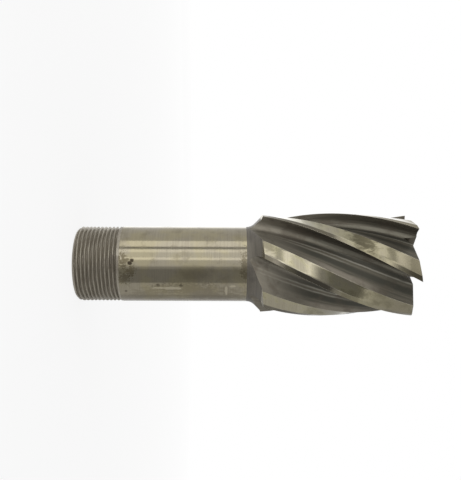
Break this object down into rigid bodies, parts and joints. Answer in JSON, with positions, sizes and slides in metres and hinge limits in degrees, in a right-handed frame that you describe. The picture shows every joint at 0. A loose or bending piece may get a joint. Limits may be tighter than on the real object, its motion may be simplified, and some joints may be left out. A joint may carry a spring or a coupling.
{
  "type": "end mill",
  "caption": "Right-hand end mill with helical teeth, a short tapered neck and a cylindrical shank with a fine thread at its end, for a screwed collet chuck.",
  "frame": {"origin": "centre of the shank's end face, at the bottom of the tool as it stands", "axes": "+Z along the tool's axis, from the shank end to the cutting end"},
  "size_m": [0.0344, 0.0344, 0.111],
  "materials": {
    "tool_steel": "ground high-speed steel, bright on the lands, stained and oxidised in the flutes and on the thread"
  },
  "bodies": {
    "root": {"end_mill": "tool_steel"}
  },
  "joints": []
}
